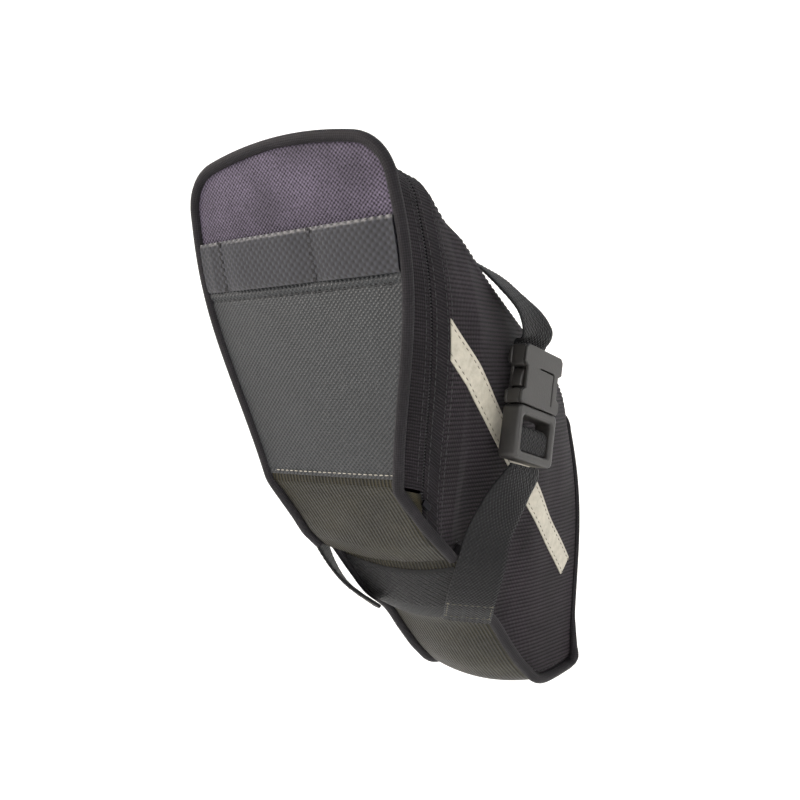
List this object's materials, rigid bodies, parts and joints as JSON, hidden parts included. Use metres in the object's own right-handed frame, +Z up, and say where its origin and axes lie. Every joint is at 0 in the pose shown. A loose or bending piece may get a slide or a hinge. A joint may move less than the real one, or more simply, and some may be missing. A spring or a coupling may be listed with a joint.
{
  "type": "bicycle seat bag",
  "caption": "Wedge-shaped seat bag with a zipped fold-down lid, buckled rail straps and a seat post strap.",
  "frame": {"origin": "on the top panel, midway between the two saddle rails that rest there", "axes": "+Y towards the front of the bicycle, +Z up, +X to the rider's right; the lid faces the rear"},
  "size_m": [0.127, 0.2088, 0.1949],
  "materials": {
    "heather_fabric": "woven polyester, heathered purple-grey",
    "board": "polyethylene sheet",
    "lining": "plain nylon lining",
    "coated_patch": "dotted coated cloth",
    "coated_fabric": "coated ribbed cloth, satin",
    "webbing": "ribbed polypropylene webbing",
    "piping": "bias-covered cord",
    "zip_tape": "woven zip tape",
    "coil": "nylon coil",
    "zip_metal": "black lacquered zinc",
    "pull_rubber": "moulded rubber",
    "ribbed_fabric": "ribbed polyester",
    "reflective": "retroreflective tape",
    "acetal": "moulded acetal, fine texture",
    "hook_loop": "hook and loop tape"
  },
  "bodies": {
    "bag": {"body_tape": "zip_tape", "body_coil": "coil", "zip_stops": "zip_metal", "lobe_panel": "coated_fabric", "lobe_piping": "piping", "side_panel_right": "ribbed_fabric", "side_panel_left": "ribbed_fabric", "top_panel": "ribbed_fabric", "belly_panel": "coated_fabric", "front_panel": "ribbed_fabric", "seam_piping_right": "piping", "seam_piping_left": "piping", "reflective_tape_right": "reflective", "reflective_tape_left": "reflective", "body_lining": "lining", "belly_band": "webbing", "rail_strap_right": "webbing", "rail_strap_left": "webbing", "lower_strap_right": "webbing", "lower_strap_left": "webbing", "buckle_socket_right": "acetal", "buckle_socket_left": "acetal", "post_strap_base": "webbing"},
    "lid": {"lid_panel": "heather_fabric", "lid_board": "board", "lid_lining": "lining", "lid_patch": "coated_patch", "light_strap": "webbing", "lid_piping": "piping", "lid_tape": "zip_tape", "lid_coil": "coil"},
    "plug_right": {"buckle_plug_right": "acetal", "ladder_wrap_right": "webbing"},
    "plug_left": {"buckle_plug_left": "acetal", "ladder_wrap_left": "webbing"},
    "prong_front_right": {"prong_front_right": "acetal"},
    "prong_rear_right": {"prong_rear_right": "acetal"},
    "prong_front_left": {"prong_front_left": "acetal"},
    "prong_rear_left": {"prong_rear_left": "acetal"},
    "slider": {"zip_slider": "zip_metal"},
    "pull": {"pull_tab": "pull_rubber"},
    "tail_right": {"post_strap_hook": "hook_loop"},
    "tail_left": {"post_strap_loop": "hook_loop"}
  },
  "joints": [
    {"name": "lid_fold", "type": "hinge", "parent": "bag", "child": "lid", "pos_m": [0, -0.03, -0.091], "axis": [1, 0, 0], "range_deg": [0, 75]},
    {"name": "zip_travel", "type": "slide", "parent": "bag", "child": "slider", "axis": [-0.231, -0.3908, 0.891], "range_m": [0, 0.03]},
    {"name": "pull_swing", "type": "hinge", "parent": "slider", "child": "pull", "pos_m": [-0.04829, -0.03053, -0.06093], "axis": [0, 0.9158, 0.4017], "range_deg": [0, 110]},
    {"name": "release_right", "type": "slide", "parent": "bag", "child": "plug_right", "axis": [0, 0, -1], "range_m": [0, 0.025], "deforming": ["lower_strap_right", "prong_front_right", "prong_rear_right"]},
    {"name": "squeeze_front_right", "type": "hinge", "parent": "plug_right", "child": "prong_front_right", "pos_m": [0.0576, 0.02605, -0.05065], "axis": [1, 0, 0], "range_deg": [0, 9], "stiffness_Nm_per_rad": 0.05},
    {"name": "squeeze_rear_right", "type": "hinge", "parent": "plug_right", "child": "prong_rear_right", "pos_m": [0.0576, 0.00795, -0.05065], "axis": [-1, 0, 0], "range_deg": [0, 9], "stiffness_Nm_per_rad": 0.05},
    {"name": "release_left", "type": "slide", "parent": "bag", "child": "plug_left", "axis": [0, 0, -1], "range_m": [0, 0.025], "deforming": ["lower_strap_left", "prong_front_left", "prong_rear_left"]},
    {"name": "squeeze_front_left", "type": "hinge", "parent": "plug_left", "child": "prong_front_left", "pos_m": [-0.0576, 0.02605, -0.05065], "axis": [1, 0, 0], "range_deg": [0, 9], "stiffness_Nm_per_rad": 0.05},
    {"name": "squeeze_rear_left", "type": "hinge", "parent": "plug_left", "child": "prong_rear_left", "pos_m": [-0.0576, 0.00795, -0.05065], "axis": [-1, 0, 0], "range_deg": [0, 9], "stiffness_Nm_per_rad": 0.05},
    {"name": "tail_open_right", "type": "hinge", "parent": "bag", "child": "tail_right", "pos_m": [0.021, 0.10647, -0.07483], "axis": [0, 0.2425, -0.9701], "range_deg": [0, 120]},
    {"name": "tail_open_left", "type": "hinge", "parent": "bag", "child": "tail_left", "pos_m": [-0.021, 0.10647, -0.07483], "axis": [0, -0.2425, 0.9701], "range_deg": [0, 120]}
  ],
  "couplings": [
    {"joint": "squeeze_rear_right", "follows": "squeeze_front_right", "ratio": 1},
    {"joint": "squeeze_rear_left", "follows": "squeeze_front_left", "ratio": 1}
  ]
}
